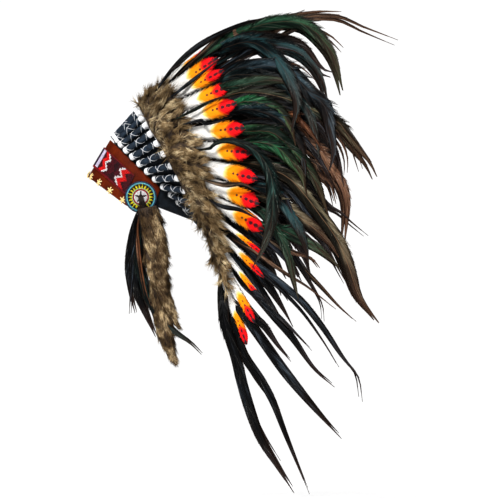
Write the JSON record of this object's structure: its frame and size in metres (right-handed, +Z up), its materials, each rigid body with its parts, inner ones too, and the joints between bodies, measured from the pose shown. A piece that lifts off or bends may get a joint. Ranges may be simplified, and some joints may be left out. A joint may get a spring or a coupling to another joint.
{
  "type": "feathered headdress",
  "caption": "Feathered headdress in its worn shape: beaded brow band, wrapped quill tubes, fur roll, painted plumes, a fan of long cock feathers, and a rosette with a fur drop on each side.",
  "frame": {"origin": "middle of the head opening, where the headdress sits on the head", "axes": "+Z up, -Y the way the wearer faces, +X the wearer's left"},
  "size_m": [0.5088, 0.6269, 0.9308],
  "materials": {
    "brow_leather": "matt rust-brown suede leather",
    "wine_beads": "small opaque glass beads in rows",
    "black_felt": "matt black felt",
    "rosette_beads": "small opaque glass beads in rings",
    "wrapped_quill": "black felt wrap with white thread",
    "painted_plume": "dyed feather, white to orange to red",
    "brown_fur": "soft brown rabbit fur",
    "cock_feather": "glossy black-green cock feather"
  },
  "bodies": {
    "root": {"brow_band": "brow_leather", "bead_panel": "wine_beads", "cap_band": "black_felt", "rosette_left": "rosette_beads", "rosette_right": "rosette_beads", "fur_band": "brown_fur", "cock_fan": "cock_feather", "drop_left": "brown_fur", "drop_right": "brown_fur", "quill_tube_01": "wrapped_quill", "quill_tube_02": "wrapped_quill", "quill_tube_03": "wrapped_quill", "quill_tube_04": "wrapped_quill", "quill_tube_05": "wrapped_quill", "quill_tube_06": "wrapped_quill", "quill_tube_07": "wrapped_quill", "quill_tube_08": "wrapped_quill", "quill_tube_09": "wrapped_quill", "quill_tube_10": "wrapped_quill", "quill_tube_11": "wrapped_quill", "quill_tube_12": "wrapped_quill", "quill_tube_13": "wrapped_quill", "quill_tube_14": "wrapped_quill", "quill_tube_15": "wrapped_quill", "quill_tube_16": "wrapped_quill", "quill_tube_17": "wrapped_quill", "quill_tube_18": "wrapped_quill", "quill_tube_19": "wrapped_quill", "quill_tube_20": "wrapped_quill", "quill_tube_21": "wrapped_quill", "quill_tube_22": "wrapped_quill", "quill_tube_23": "wrapped_quill", "quill_tube_24": "wrapped_quill", "quill_tube_25": "wrapped_quill", "plume_01": "painted_plume", "plume_02": "painted_plume", "plume_03": "painted_plume", "plume_04": "painted_plume", "plume_05": "painted_plume", "plume_06": "painted_plume", "plume_07": "painted_plume", "plume_08": "painted_plume", "plume_09": "painted_plume", "plume_10": "painted_plume", "plume_11": "painted_plume", "plume_12": "painted_plume", "plume_13": "painted_plume", "plume_14": "painted_plume", "plume_15": "painted_plume", "plume_16": "painted_plume", "plume_17": "painted_plume", "plume_18": "painted_plume", "plume_19": "painted_plume", "plume_20": "painted_plume", "plume_21": "painted_plume", "plume_22": "painted_plume", "plume_23": "painted_plume", "trail_plumes_left": "painted_plume", "trail_plumes_right": "painted_plume"}
  },
  "joints": []
}
